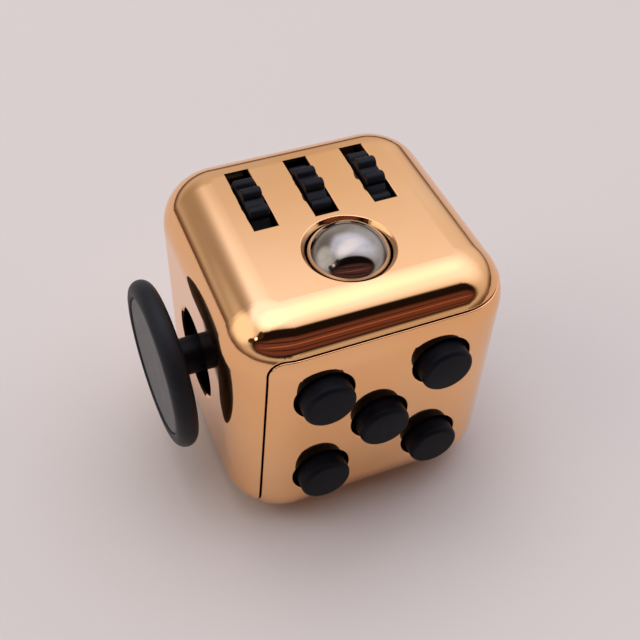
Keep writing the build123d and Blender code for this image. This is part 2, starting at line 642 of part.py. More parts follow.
def rocker_frame():
    """The open box behind the rocker that holds its pin, with two screw lugs."""
    frame = block(-4.4, 4.4, ROCKER_FRAME_BACK, INNER - 0.02, MIDDLE - 6.5, MIDDLE + 6.5)
    frame -= block(-3.3, 3.3, ROCKER_FRAME_BACK + 0.8, INNER + 1, MIDDLE - 5.75, MIDDLE + 5.75)
    lug_high = INNER - LUG_FOOT
    for side in (-1, 1):
        x_low, x_high = sorted((side * 4.2, side * ROCKER_LUG_X))
        lug_low = lug_high - LUG_THICKNESS
        frame += block(x_low, x_high, lug_low, lug_high, MIDDLE - LUG_RADIUS, MIDDLE + LUG_RADIUS)
        frame += rod_y(LUG_RADIUS, lug_low, lug_high, side * ROCKER_LUG_X, MIDDLE)
        frame -= rod_y(SCREW_FREE_RADIUS, lug_high - 3, lug_high + 1, side * ROCKER_LUG_X, MIDDLE)
    return frame - rod_x(ROCKER_PIN_RADIUS + 0.01, -6, 6, ROCKER_PIVOT_Y, MIDDLE)


def rocker_frame_screws():
    """The two screws through the frame's lugs."""
    seat = INNER - LUG_FOOT - LUG_THICKNESS
    screws = []
    for side in (-1, 1):
        screw = Rot(-90, 0, 0) * screw_down(0, 0, 0, 3.0)
        screws.append(Pos(side * ROCKER_LUG_X, seat, MIDDLE) * screw)
    return Compound(screws)


def rocker_click_leaf():
    """A bent leaf on the frame's back plate, whose hump the rocker's nose snaps over."""
    seat = ROCKER_FRAME_BACK + 0.82
    leaf = 0.15
    hump = 0.25
    path_low = [(seat, -4.6), (seat, -0.35), (seat + hump, 0), (seat, 0.35), (seat, 4.6)]
    path_high = [(y + leaf, z) for y, z in reversed(path_low)]
    outline = Polyline(*path_low, *path_high, close=True)
    return Pos(0, 0, MIDDLE) * extrude(Plane.YZ * make_face(outline), amount=1.5, both=True)


def build_parts():
    """Every separate piece of the cube by its node name."""
    parts = {
        "upper_shell": upper_shell(),
        "lower_shell": lower_shell(),
        "gear_axle": gear_axle(),
        "gear_carrier": gear_carrier(),
        "gear_click_spring": gear_click_spring(),
        "carrier_screws": carrier_screws(),
        "steel_ball": steel_ball(),
        "ball_cup": ball_cup(),
        "ball_spring": ball_spring(),
        "ball_click_dome": ball_click_dome(),
        "button_plate": button_plate(),
        "button_plate_screws": button_plate_screws(),
        "stick_cap": stick_cap(),
        "stick_insert": stick_insert(),
        "stick_stem": stick_stem(),
        "gimbal_ring": gimbal_ring(),
        "gimbal_inner_pin": gimbal_inner_pin(),
        "gimbal_outer_pins": gimbal_outer_pins(),
        "stick_bracket": stick_bracket(),
        "stick_bracket_screws": stick_bracket_screws(),
        "stick_spring": stick_spring(),
        "spin_dial": spin_dial(),
        "dial_washer": dial_washer(),
        "dial_screw": dial_screw(),
        "rocker": rocker(),
        "rocker_pin": rocker_pin(),
        "rocker_frame": rocker_frame(),
        "rocker_frame_screws": rocker_frame_screws(),
        "rocker_click_leaf": rocker_click_leaf(),
    }
    for place, (side, phase) in zip((-1, 0, 1), WHEEL_PHASES.items()):
        parts[f"gear_{side}"] = gear(place, phase)
    for name in BUTTON_PLACES:
        kind = "dome" if name in CLICKING_BUTTONS else "pad"
        parts[f"button_{name}"] = button(name)
        parts[f"button_{kind}_{name}"] = button_return(name)
    return parts


os.makedirs("parts", exist_ok=True)
for node, shape in build_parts().items():
    export_step(shape, f"parts/{node}.step")
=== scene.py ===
"""A palm-size fidget cube in a rose-gold plated case, with a hand toy on each face.

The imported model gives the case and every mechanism. This script models the pieces that a hand meets anew
(wheels, ball, buttons, stick, dial and rocker), dresses every piece and sets up the studio.
All lengths in the classes are millimetres in the object's own frame: +Z up, the origin in the middle of
the underside, -Y the button face, -X the thumb-stick face, +X the spin dial and +Y the rocker.
"""

from __future__ import annotations

import logging
import math
from dataclasses import dataclass, field
from enum import Enum
from typing import Callable

import bmesh
import bpy
from mathutils import Matrix, Quaternion, Vector

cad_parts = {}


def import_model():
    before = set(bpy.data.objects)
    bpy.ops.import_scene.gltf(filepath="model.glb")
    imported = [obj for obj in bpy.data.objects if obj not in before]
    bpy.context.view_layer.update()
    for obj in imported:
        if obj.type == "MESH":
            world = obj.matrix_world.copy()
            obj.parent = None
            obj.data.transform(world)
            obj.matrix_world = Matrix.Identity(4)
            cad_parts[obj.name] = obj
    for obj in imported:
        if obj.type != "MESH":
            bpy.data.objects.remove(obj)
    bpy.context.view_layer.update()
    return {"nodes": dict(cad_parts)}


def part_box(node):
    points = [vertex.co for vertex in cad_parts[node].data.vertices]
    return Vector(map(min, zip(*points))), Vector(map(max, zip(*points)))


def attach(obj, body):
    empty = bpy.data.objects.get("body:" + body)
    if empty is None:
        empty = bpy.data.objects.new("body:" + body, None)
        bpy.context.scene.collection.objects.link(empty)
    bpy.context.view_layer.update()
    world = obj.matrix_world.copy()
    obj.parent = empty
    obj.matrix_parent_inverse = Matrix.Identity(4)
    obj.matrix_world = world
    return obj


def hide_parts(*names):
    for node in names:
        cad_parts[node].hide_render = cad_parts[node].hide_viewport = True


log = logging.getLogger("fidget_cube")

MM = 0.001
Colour = tuple[float, float, float]
Point = tuple[float, float, float]


# ---------------------------------------------------------------------------------------------
# Shader workshop
# ---------------------------------------------------------------------------------------------
class NodeBench:
    """Adds and wires nodes in one tree, so that a finish reads as a short list of steps."""

    def __init__(self, tree: bpy.types.NodeTree) -> None:
        """Keeps the tree that nodes are added to.

        Args:
            tree: A material's or a group's node tree.
        """
        self.tree = tree

    def add(self, kind: str, values: dict[str, object] | None = None, **settings: object) -> bpy.types.Node:
        """Adds a node.

        Args:
            kind: The node's type name.
            values: Input socket name to its value, or to the output socket that feeds it.
            settings: Properties of the node itself.

        Returns:
            The new node.
        """
        node = self.tree.nodes.new(kind)
        for key, value in settings.items():
            setattr(node, key, value)
        for key, value in (values or {}).items():
            socket = node.inputs[key]
            if isinstance(value, bpy.types.NodeSocket):
                self.tree.links.new(value, socket)
            else:
                socket.default_value = value
        return node

    def maths(self, operation: str, first: object, second: object) -> bpy.types.NodeSocket:
        """Adds a two-input Math node.

        Args:
            operation: The node's operation.
            first: A number or an output socket.
            second: A number or an output socket.

        Returns:
            The result's socket.
        """
        node = self.add("ShaderNodeMath", {0: first, 1: second}, operation=operation)
        return node.outputs[0]

    def ramp(self, mask: bpy.types.NodeSocket, low: float, high: float) -> bpy.types.NodeSocket:
        """Spreads the part of a mask between two levels over 0 to 1.

        Args:
            mask: The mask to spread.
            low: The level that becomes 0.
            high: The level that becomes 1.

        Returns:
            The spread mask.
        """
        levels = {"Value": mask, "From Min": low, "From Max": high}
        return self.add("ShaderNodeMapRange", levels, interpolation_type="SMOOTHSTEP").outputs["Result"]

    def blend(
        self,
        mask: bpy.types.NodeSocket,
        first: Colour | bpy.types.NodeSocket,
        second: Colour | bpy.types.NodeSocket,
    ) -> bpy.types.NodeSocket:
        """Mixes two colours by a mask.

        Args:
            mask: 0 gives the first colour and 1 the second.
            first: Linear red, green and blue, or an output socket.
            second: Linear red, green and blue, or an output socket.

        Returns:
            The mixed colour.
        """
        node = self.add("ShaderNodeMix", {"Factor": mask}, data_type="RGBA")
        sockets = [socket for socket in node.inputs if socket.type == "RGBA"]
        for socket, colour in zip(sockets, (first, second)):
            if isinstance(colour, bpy.types.NodeSocket):
                self.tree.links.new(colour, socket)
            else:
                socket.default_value = (*colour, 1.0)
        return next(socket for socket in node.outputs if socket.type == "RGBA")

    def span(self, mask: bpy.types.NodeSocket, low: float, high: float) -> bpy.types.NodeSocket:
        """Maps a 0 to 1 mask onto a range of values.

        Args:
            mask: The mask.
            low: The value where the mask is 0.
            high: The value where the mask is 1.

        Returns:
            The value.
        """
        node = self.add("ShaderNodeMapRange", {"Value": mask, "To Min": low, "To Max": high})
        return node.outputs["Result"]

    def relief(self, height: bpy.types.NodeSocket, distance: float, strength: float) -> bpy.types.NodeSocket:
        """Turns a height mask into a bumped normal.

        Args:
            height: The mask.
            distance: The relief's height in metres.
            strength: How much of it shows.

        Returns:
            The normal.
        """
        values = {"Height": height, "Distance": distance, "Strength": strength}
        return self.add("ShaderNodeBump", values).outputs["Normal"]


class ShaderGroup:
    """A node group with named inputs and outputs that any finish can place."""

    def __init__(self, name: str, inputs: dict[str, float], outputs: tuple[str, ...]) -> None:
        """Makes the empty group with its sockets.

        Args:
            name: The group's name.
            inputs: Input name to its usual value.
            outputs: Names of the values that the group gives.
        """
        self.tree = bpy.data.node_groups.new(name, "ShaderNodeTree")
        for key, value in inputs.items():
            socket = self.tree.interface.new_socket(name=key, in_out="INPUT", socket_type="NodeSocketFloat")
            socket.default_value = value
        for key in outputs:
            self.tree.interface.new_socket(name=key, in_out="OUTPUT", socket_type="NodeSocketFloat")
        self.bench = NodeBench(self.tree)
        self.inputs = self.bench.add("NodeGroupInput").outputs
        self.outputs = self.bench.add("NodeGroupOutput").inputs

    def give(self, key: str, socket: bpy.types.NodeSocket) -> None:
        """Connects a result to one of the group's outputs."""
        self.tree.links.new(socket, self.outputs[key])

    def place(self, bench: NodeBench, **values: float) -> bpy.types.bpy_prop_collection:
        """Places the group in a material.

        Args:
            bench: The material's bench.
            values: Input name, in lower case with underscores, to its value here.

        Returns:
            The placed node's outputs.
        """
        node = bench.add("ShaderNodeGroup", node_tree=self.tree)
        for key, value in values.items():
            node.inputs[key.replace("_", " ").capitalize()].default_value = value
        return node.outputs


def make_handling_marks() -> ShaderGroup:
    """Builds the broad smudges and fine hairlines that fingers leave on a surface.

    Returns:
        A group with inputs Scale and Cover, and outputs Smudge and Hairline.
    """
    group = ShaderGroup("handling_marks", {"Scale": 120.0, "Cover": 0.5}, ("Smudge", "Hairline"))
    bench = group.bench
    place = bench.add("ShaderNodeTexCoord").outputs["Object"]
    broad = {"Vector": place, "Scale": group.inputs["Scale"], "Detail": 4.0, "Distortion": 0.6}
    cloudy = bench.add("ShaderNodeTexNoise", broad)
    high = bench.maths("ADD", group.inputs["Cover"], 0.25)
    smudge = bench.add(
        "ShaderNodeMapRange",
        {"Value": cloudy.outputs["Fac"], "From Min": group.inputs["Cover"], "From Max": high},
        interpolation_type="SMOOTHSTEP",
    )
    group.give("Smudge", smudge.outputs["Result"])
    lines = []
    for turn in (0.35, 1.9):
        rotation = (turn, turn * 0.7, turn)
        laid = bench.add("ShaderNodeMapping", {"Vector": place, "Rotation": rotation, "Scale": (1, 14, 1)})
        streak = bench.add("ShaderNodeTexNoise", {"Vector": laid.outputs[0], "Scale": 420.0, "Detail": 2.0})
        lines.append(bench.ramp(streak.outputs["Fac"], 0.66, 0.72))
    group.give("Hairline", bench.maths("MAXIMUM", *lines))
    return group


def make_mould_grain() -> ShaderGroup:
    """Builds the fine pebbled skin of moulded plastic and rubber.

    Returns:
        A group with the input Scale, and outputs Height and Mottle.
    """
    group = ShaderGroup("mould_grain", {"Scale": 6000.0}, ("Height", "Mottle"))
    bench = group.bench
    place = bench.add("ShaderNodeTexCoord").outputs["Object"]
    skin = {"Vector": place, "Scale": group.inputs["Scale"]}
    pebble = bench.add("ShaderNodeTexVoronoi", skin, feature="SMOOTH_F1")
    fine = bench.add("ShaderNodeTexNoise", {**skin, "Detail": 3.0})
    group.give("Height", bench.maths("ADD", pebble.outputs["Distance"], fine.outputs["Fac"]))
    tenth = bench.maths("MULTIPLY", group.inputs["Scale"], 0.1)
    coarse = {"Vector": place, "Scale": tenth, "Detail": 5.0, "Roughness": 0.6}
    patches = bench.add("ShaderNodeTexNoise", coarse)
    group.give("Mottle", bench.ramp(patches.outputs["Fac"], 0.35, 0.68))
    return group


def make_edge_wear() -> ShaderGroup:
    """Builds the mask of edges that rub against fingers and neighbours.

    Returns:
        A group with the input Width in metres, and the output Mask.
    """
    group = ShaderGroup("edge_wear", {"Width": 0.00015}, ("Mask",))
    bench = group.bench
    rounded = bench.add("ShaderNodeBevel", {"Radius": group.inputs["Width"]}, samples=4)
    plain = bench.add("ShaderNodeNewGeometry").outputs["Normal"]
    facing = bench.add("ShaderNodeVectorMath", {0: rounded.outputs[0], 1: plain}, operation="DOT_PRODUCT")
    turned = bench.maths("SUBTRACT", 1.0, facing.outputs["Value"])
    group.give("Mask", bench.ramp(turned, 0.02, 0.25))
    return group


# ---------------------------------------------------------------------------------------------
# Finishes
# ---------------------------------------------------------------------------------------------
class Slot(Enum):
    """The object's finishes, by the names of the record's material slots."""

    PLATED_CASE = "plated_case"
    BLACK_PLASTIC = "black_plastic"
    BLACK_RUBBER = "black_rubber"
    GREY_PAD = "grey_pad"
    GREY_NYLON = "grey_nylon"
    SILICONE = "silicone"
    BALL_STEEL = "ball_steel"
    BRIGHT_STEEL = "bright_steel"
    SPRING_STEEL = "spring_steel"
    SCREW_STEEL = "screw_steel"


@dataclass(frozen=True)
class SharedEffects:
    """The shader groups that the finishes place."""

    marks: ShaderGroup
    grain: ShaderGroup
    wear: ShaderGroup


@dataclass(frozen=True)
class PlatedFinish:
    """Bright metal film on smooth plastic: a mirror with a slight ripple and faint finger marks, with painted
    shade darkening its crevices.
    """

    thin_tint: Colour
    rich_tint: Colour
    clean_roughness: float
    smudged_roughness: float
    # painted shade: the dark bronze that crevices are painted towards, and how far the occlusion looks for
    # nearby surfaces
    painted_crevice_shade: Colour = (0.20, 0.095, 0.045)
    painted_shade_reach: float = 0.9 * MM
    ripple_height: float = 0.003 * MM
    ripple_scale: float = 260.0

    def build(self, name: str, effects: SharedEffects) -> bpy.types.Material:
        """Makes the material.

        Args:
            name: The material's name.
            effects: The shared shader groups.

        Returns:
            The material.
        """
        material, bench, shader = start_material(name)
        marks = effects.marks.place(bench, scale=90.0, cover=0.5)
        place = bench.add("ShaderNodeTexCoord").outputs["Object"]
        drift = bench.add("ShaderNodeTexNoise", {"Vector": place, "Scale": 55.0, "Detail": 2.0})
        tint = bench.blend(bench.ramp(drift.outputs["Fac"], 0.3, 0.7), self.rich_tint, self.thin_tint)
        # painted shade: ambient occlusion darkens the base colour in crevices, slot and hole edges and the
        # ball's mouth, where shade falls
        open_air = bench.add("ShaderNodeAmbientOcclusion", {"Distance": self.painted_shade_reach}, samples=8)
        openness = bench.ramp(open_air.outputs["AO"], 0.30, 0.78)
        connect(bench, shader, "Base Color", bench.blend(openness, self.painted_crevice_shade, tint))
        shader.inputs["Metallic"].default_value = 1.0
        rough = bench.span(marks["Smudge"], self.clean_roughness, self.smudged_roughness)
        scratched = bench.maths("MULTIPLY", marks["Hairline"], self.clean_roughness * 0.4)
        connect(bench, shader, "Roughness", bench.maths("ADD", rough, scratched))
        ripple = bench.add("ShaderNodeTexNoise", {"Vector": place, "Scale": self.ripple_scale, "Detail": 1.0})
        connect(bench, shader, "Normal", bench.relief(ripple.outputs["Fac"], self.ripple_height, 1.0))
        return material


@dataclass(frozen=True)
class MouldedFinish:
    """Moulded plastic or rubber with a pebbled skin and edges polished by use."""

    shade: Colour
    worn_shade: Colour
    matt_roughness: float
    worn_roughness: float
    grain_scale: float = 5200.0
    grain_height: float = 0.006 * MM
    specular: float = 0.5
    sheen: float = 0.0

    def build(self, name: str, effects: SharedEffects) -> bpy.types.Material:
        """Makes the material.

        Args:
            name: The material's name.
            effects: The shared shader groups.

        Returns:
            The material.
        """
        material, bench, shader = start_material(name)
        grain = effects.grain.place(bench, scale=self.grain_scale)
        wear = effects.wear.place(bench, width=0.22 * MM)
        marks = effects.marks.place(bench, scale=210.0, cover=0.48)
        rubbed = bench.maths("MULTIPLY", wear["Mask"], bench.span(grain["Mottle"], 0.45, 1.0))
        handled = bench.maths("MAXIMUM", rubbed, bench.maths("MULTIPLY", marks["Smudge"], 0.35))
        connect(bench, shader, "Base Color", bench.blend(handled, self.shade, self.worn_shade))
        connect(bench, shader, "Roughness", bench.span(handled, self.matt_roughness, self.worn_roughness))
        shader.inputs["Specular IOR Level"].default_value = self.specular
        shader.inputs["Sheen Weight"].default_value = self.sheen
        connect(bench, shader, "Normal", bench.relief(grain["Height"], self.grain_height, 0.6))
        return material


@dataclass(frozen=True)
class SteelFinish:
    """Bare steel, from a polished ball to a screw: tint, polish and hairlines."""

    tint: Colour
    dull_tint: Colour
    polished_roughness: float
    dull_roughness: float
    scratch_height: float = 0.001 * MM

    def build(self, name: str, effects: SharedEffects) -> bpy.types.Material:
        """Makes the material.

        Args:
            name: The material's name.
            effects: The shared shader groups.

        Returns:
            The material.
        """
        material, bench, shader = start_material(name)
        marks = effects.marks.place(bench, scale=260.0, cover=0.46)
        connect(bench, shader, "Base Color", bench.blend(marks["Smudge"], self.tint, self.dull_tint))
        shader.inputs["Metallic"].default_value = 1.0
        dulled = bench.maths("MAXIMUM", marks["Smudge"], marks["Hairline"])
        rough = bench.span(dulled, self.polished_roughness, self.dull_roughness)
        connect(bench, shader, "Roughness", rough)
        connect(bench, shader, "Normal", bench.relief(marks["Hairline"], self.scratch_height, 0.5))
        return material


def start_material(name: str) -> tuple[bpy.types.Material, NodeBench, bpy.types.Node]:
    """Makes a material that holds one Principled shader.

    Args:
        name: The material's name.

    Returns:
        The material, its bench and the shader node.
    """
    material = bpy.data.materials.new(name)
    material.use_nodes = True
    material.node_tree.nodes.clear()
    bench = NodeBench(material.node_tree)
    shader = bench.add("ShaderNodeBsdfPrincipled")
    bench.add("ShaderNodeOutputMaterial", {"Surface": shader.outputs["BSDF"]})
    return material, bench, shader


def connect(bench: NodeBench, shader: bpy.types.Node, key: str, socket: bpy.types.NodeSocket) -> None:
    """Feeds one of the shader's inputs."""
    bench.tree.links.new(socket, shader.inputs[key])


FINISHES: dict[Slot, PlatedFinish | MouldedFinish | SteelFinish] = {
    Slot.PLATED_CASE: PlatedFinish((0.96, 0.56, 0.28), (0.95, 0.50, 0.215), 0.045, 0.11),
    Slot.BLACK_PLASTIC: MouldedFinish(
        (0.004, 0.0042, 0.007), (0.011, 0.0115, 0.016), 0.44, 0.32, specular=0.15
    ),
    Slot.BLACK_RUBBER: MouldedFinish(
        (0.003, 0.0035, 0.0065), (0.009, 0.0095, 0.014), 0.52, 0.40, specular=0.11
    ),
    Slot.GREY_PAD: MouldedFinish(
        (0.135, 0.131, 0.133), (0.17, 0.166, 0.168), 0.72, 0.58, grain_height=0.01 * MM
    ),
    Slot.GREY_NYLON: MouldedFinish((0.15, 0.15, 0.14), (0.26, 0.26, 0.25), 0.55, 0.40),
    Slot.SILICONE: MouldedFinish((0.45, 0.44, 0.39), (0.60, 0.59, 0.54), 0.60, 0.45, sheen=0.1),
    Slot.BALL_STEEL: SteelFinish((0.39, 0.345, 0.305), (0.29, 0.255, 0.225), 0.06, 0.14),
    Slot.BRIGHT_STEEL: SteelFinish((0.60, 0.60, 0.60), (0.42, 0.42, 0.42), 0.16, 0.34),
    Slot.SPRING_STEEL: SteelFinish((0.46, 0.46, 0.48), (0.30, 0.30, 0.31), 0.24, 0.42),
    Slot.SCREW_STEEL: SteelFinish((0.32, 0.32, 0.34), (0.20, 0.20, 0.21), 0.26, 0.46),
}

SATIN_RUBBER = MouldedFinish((0.010, 0.010, 0.013), (0.024, 0.024, 0.029), 0.50, 0.40, specular=0.2)


class Wardrobe:
    """Makes each finish once and dresses pieces in it."""

    def __init__(self) -> None:
        """Builds the shared effects and every finish."""
        effects = SharedEffects(make_handling_marks(), make_mould_grain(), make_edge_wear())
        self.materials = {
            slot: finish.build(f"{slot.value}_finish", effects) for slot, finish in FINISHES.items()
        }
        self.satin_rubber = SATIN_RUBBER.build("satin_rubber_finish", effects)

    def dress(self, piece: bpy.types.Object, slot: Slot, variant: bpy.types.Material | None = None) -> None:
        """Gives a new piece its finish.

        Args:
            piece: The piece.
            slot: Its finish.
            variant: A variant of that finish to use in its place.
        """
        piece.data.materials.clear()
        piece.data.materials.append(variant or self.materials[slot])

    def fit(
        self,
        piece: bpy.types.Object,
        slot: Slot,
        node: str,
        body: str,
        variant: bpy.types.Material | None = None,
    ) -> None:
        """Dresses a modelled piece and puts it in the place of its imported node.

        Args:
            piece: The piece.
            slot: Its finish.
            node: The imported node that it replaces.
            body: The body that it moves with.
            variant: A variant of that finish to use in its place.
        """
        self.dress(piece, slot, variant)
        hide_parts(node)
        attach(piece, body)
        log.info("modelled %s with %d faces", piece.name, len(piece.data.polygons))

    def dress_frame(self, nodes: dict[str, bpy.types.Object]) -> None:
        """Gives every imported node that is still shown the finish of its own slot.

        Args:
            nodes: Node name to its object.
        """
        for name, node in nodes.items():
            slot = Slot(node.material_slots[0].material.name.split(".")[0])
            node.material_slots[0].material = self.materials[slot]
            if not node.hide_render:
                log.info("kept %s, dressed as %s", name, slot.value)


# ---------------------------------------------------------------------------------------------
# Modelling bench
# ---------------------------------------------------------------------------------------------
class ModelBench:
    """Blender's modelling operators, each used on elements that are picked by their place."""

    @staticmethod
    def clear() -> None:
        """Leaves nothing selected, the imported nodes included."""
        bpy.ops.object.select_all(action="DESELECT")

    @classmethod
    def pick(cls, piece: bpy.types.Object) -> None:
        """Selects one piece alone and makes it active."""
        cls.clear()
        piece.select_set(True)
        bpy.context.view_layer.objects.active = piece

    @classmethod
    def drum(
        cls, name: str, radius: float, start: Vector, end: Vector, sides: int = 96
    ) -> bpy.types.Object:
        """Adds a closed drum between two points.

        Args:
            name: The new object's name.
            radius: Its radius.
            start: The centre of one end.
            end: The centre of the other end.
            sides: How many flats its wall has.

        Returns:
            The drum, its place in its mesh.
        """
        cls.clear()
        along = end - start
        bpy.ops.mesh.primitive_cylinder_add(
            vertices=sides,
            radius=radius * MM,
            depth=along.length * MM,
            location=(start + end) / 2 * MM,
            rotation=along.to_track_quat("Z", "Y").to_euler(),
        )
        bpy.ops.object.transform_apply(location=True, rotation=True, scale=True)
        drum = bpy.context.object
        drum.name = name
        return drum

    @classmethod
    def turned(
        cls, name: str, outline: list[tuple[float, float]], base: Vector, axis: Vector, steps: int = 128
    ) -> bpy.types.Object:
        """Turns an outline about an axis, as on a lathe.

        Args:
            name: The new object's name.
            outline: Points as (distance along the axis, radius), from one pole to the other.
            base: Where the axis starts.
            axis: The axis, one unit long.
            steps: How many stations one turn has.

        Returns:
            The closed turned piece.
        """
        cls.clear()
        side = axis.orthogonal().normalized()
        points = [(base + axis * along + side * radius) * MM for along, radius in outline]
        bpy.ops.mesh.primitive_plane_add(size=MM, location=points[0])
        piece = bpy.context.object
        piece.name = name
        bpy.ops.object.transform_apply(location=True, rotation=True, scale=True)
        bpy.ops.object.mode_set(mode="EDIT")
        bpy.ops.mesh.select_mode(type="VERT")
        bpy.ops.mesh.select_all(action="SELECT")
        bpy.ops.mesh.merge(type="CENTER")
        for before, after in zip(points, points[1:]):
            bpy.ops.mesh.extrude_region_move(TRANSFORM_OT_translate={"value": after - before})
        bpy.ops.mesh.select_all(action="SELECT")
        bpy.ops.mesh.spin(steps=steps, angle=math.tau, center=base * MM, axis=axis)
        bpy.ops.mesh.select_all(action="SELECT")
        bpy.ops.mesh.remove_doubles(threshold=0.0005 * MM)
        bpy.ops.mesh.normals_make_consistent(inside=False)
        bpy.ops.object.mode_set(mode="OBJECT")
        return piece

    @staticmethod
    def edit(piece: bpy.types.Object, mode: str) -> bmesh.types.BMesh:
        """Opens a piece for editing with nothing picked.

        Args:
            piece: The piece.
            mode: VERT, EDGE or FACE.

        Returns:
            The open mesh.
        """
        bpy.context.view_layer.objects.active = piece
        piece.select_set(True)
        bpy.ops.object.mode_set(mode="EDIT")
        bpy.ops.mesh.select_mode(type=mode)
        bpy.ops.mesh.select_all(action="DESELECT")
        return bmesh.from_edit_mesh(piece.data)

    @classmethod
    def round_edges(
        cls, piece: bpy.types.Object, test: Callable[[Vector], bool], radius: float, segments: int = 4
    ) -> None:
        """Rounds the sharp edges whose middle passes a test.

        Args:
            piece: The piece.
            test: Says whether an edge's middle, in millimetres, is one to round.
            radius: The rounding's radius.
            segments: How many flats the rounding has.
        """
        mesh = cls.edit(piece, "EDGE")
        for edge in mesh.edges:
            sharp = len(edge.link_faces) == 2 and edge.calc_face_angle() > math.radians(40)
            middle = (edge.verts[0].co + edge.verts[1].co) / 2
            edge.select_set(sharp and test(middle / MM))
        bmesh.update_edit_mesh(piece.data)
        bpy.ops.mesh.bevel(offset=radius * MM, segments=segments, profile=0.5, affect="EDGES")
        bpy.ops.object.mode_set(mode="OBJECT")

    @classmethod
    def shape_wall(
        cls, piece: bpy.types.Object, centre: Vector, axis: Vector, radius_at: Callable[[float], float]
    ) -> None:
        """Moves a drum's wall in or out to follow a formula of the angle about its axis.

        Args:
            piece: A drum.
            centre: A point of its axis.
            axis: The axis, one unit long.
            radius_at: Gives the radius at an angle, where 0 points along +Z.
        """
        mesh = cls.edit(piece, "VERT")
        across = axis.cross(Vector((0.0, 0.0, 1.0)))
        for vertex in mesh.verts:
            reach = vertex.co / MM - centre
            level = axis * reach.dot(axis)
            out = (reach - level).normalized()
            angle = math.atan2(out.dot(across), out.z)
            vertex.co = (centre + level + out * radius_at(angle)) * MM
        bmesh.update_edit_mesh(piece.data)
        bpy.ops.object.mode_set(mode="OBJECT")

    @classmethod
    def cut(cls, piece: bpy.types.Object, tool: bpy.types.Object, operation: str = "DIFFERENCE") -> None:
        """Cuts a tool out of a piece, or welds it on, and takes the tool away.

        Args:
            piece: The piece that stays.
            tool: A closed object.
            operation: DIFFERENCE cuts and UNION welds.
        """
        step = piece.modifiers.new("cut", "BOOLEAN")
        step.operation = operation
        step.solver = "EXACT"
        step.object = tool
        cls.apply(piece, step)
        bpy.data.objects.remove(tool)

    @classmethod
    def apply(cls, piece: bpy.types.Object, step: bpy.types.Modifier) -> None:
        """Applies a modifier to its piece."""
        cls.pick(piece)
        bpy.ops.object.modifier_apply(modifier=step.name)

    @classmethod
    def turn(cls, piece: bpy.types.Object, pivot: Vector, turn: Quaternion) -> None:
        """Turns a piece about a point and keeps the turn in its mesh.

        Args:
            piece: The piece.
            pivot: The point that stays.
            turn: The rotation.
        """
        cls.pick(piece)
        hold = Matrix.Translation(pivot * MM)
        piece.matrix_world = hold @ turn.to_matrix().to_4x4() @ hold.inverted()
        bpy.ops.object.transform_apply(location=True, rotation=True, scale=True)

    @classmethod
    def finish(cls, piece: bpy.types.Object, smooth_angle: float = 38.0) -> bpy.types.Object:
        """Shades a piece smooth over its roundings and flat on its flats.

        Args:
            piece: The piece.
            smooth_angle: Edges that turn by more stay sharp, in degrees.

        Returns:
            The piece.
        """
        cls.pick(piece)
        bpy.ops.object.shade_smooth_by_angle(angle=math.radians(smooth_angle))
        even = piece.modifiers.new("even_shading", "WEIGHTED_NORMAL")
        even.keep_sharp = True
        even.weight = 100
        cls.apply(piece, even)
        cls.clear()
        return piece


def middle_of(node: str) -> Vector:
    """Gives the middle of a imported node's box, in millimetres."""
    low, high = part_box(node)
    return (low + high) / 2 / MM


def arc(
    along: float, out: float, radius: float, start: float, end: float, steps: int = 8
) -> list[tuple[float, float]]:
    """Gives the points of an arc in a turned piece's outline.

    Args:
        along: The arc centre's distance along the axis.
        out: The arc centre's distance from the axis.
        radius: The arc's radius.
        start: Where it starts, in degrees, where 0 points along the axis and 90 outwards.
        end: Where it ends, in degrees.
        steps: How many flats it has.

    Returns:
        The points, both ends included.
    """
    angles = [math.radians(start + (end - start) * step / steps) for step in range(steps + 1)]
    return [(along + radius * math.cos(angle), out + radius * math.sin(angle)) for angle in angles]


